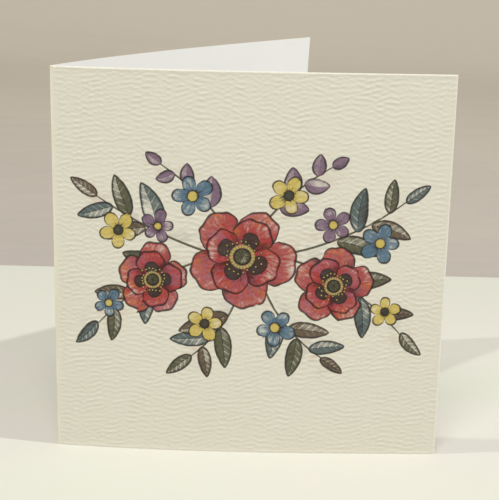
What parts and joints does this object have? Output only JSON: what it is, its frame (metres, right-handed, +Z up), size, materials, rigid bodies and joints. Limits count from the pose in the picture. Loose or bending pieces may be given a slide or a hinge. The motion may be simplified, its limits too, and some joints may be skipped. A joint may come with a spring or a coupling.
{
  "type": "greeting card",
  "caption": "Square greeting card of felt-textured cream board, folded once, standing part open on its lower edges, with a printed cover that turns about the fold.",
  "frame": {"origin": "middle of the standing card's footprint box, on the surface it stands on", "axes": "+Z up along the fold, +X along the front leaf from the fold to its free edge, -Y out of the printed cover"},
  "size_m": [0.149, 0.1208, 0.15],
  "materials": {
    "felt_board": null,
    "creased_board": "the same board pressed smooth and slightly lighter along the scored fold"
  },
  "bodies": {
    "front": {"front_leaf": "felt_board", "crease": "creased_board"},
    "back": {"back_leaf": "felt_board"}
  },
  "joints": [
    {"name": "fold", "type": "hinge", "parent": "front", "child": "back", "pos_m": [-0.0738, -0.05669, 0.075], "axis": [0, 0, 1], "range_deg": [-48.5, 129.5], "deforming": ["crease"]}
  ]
}
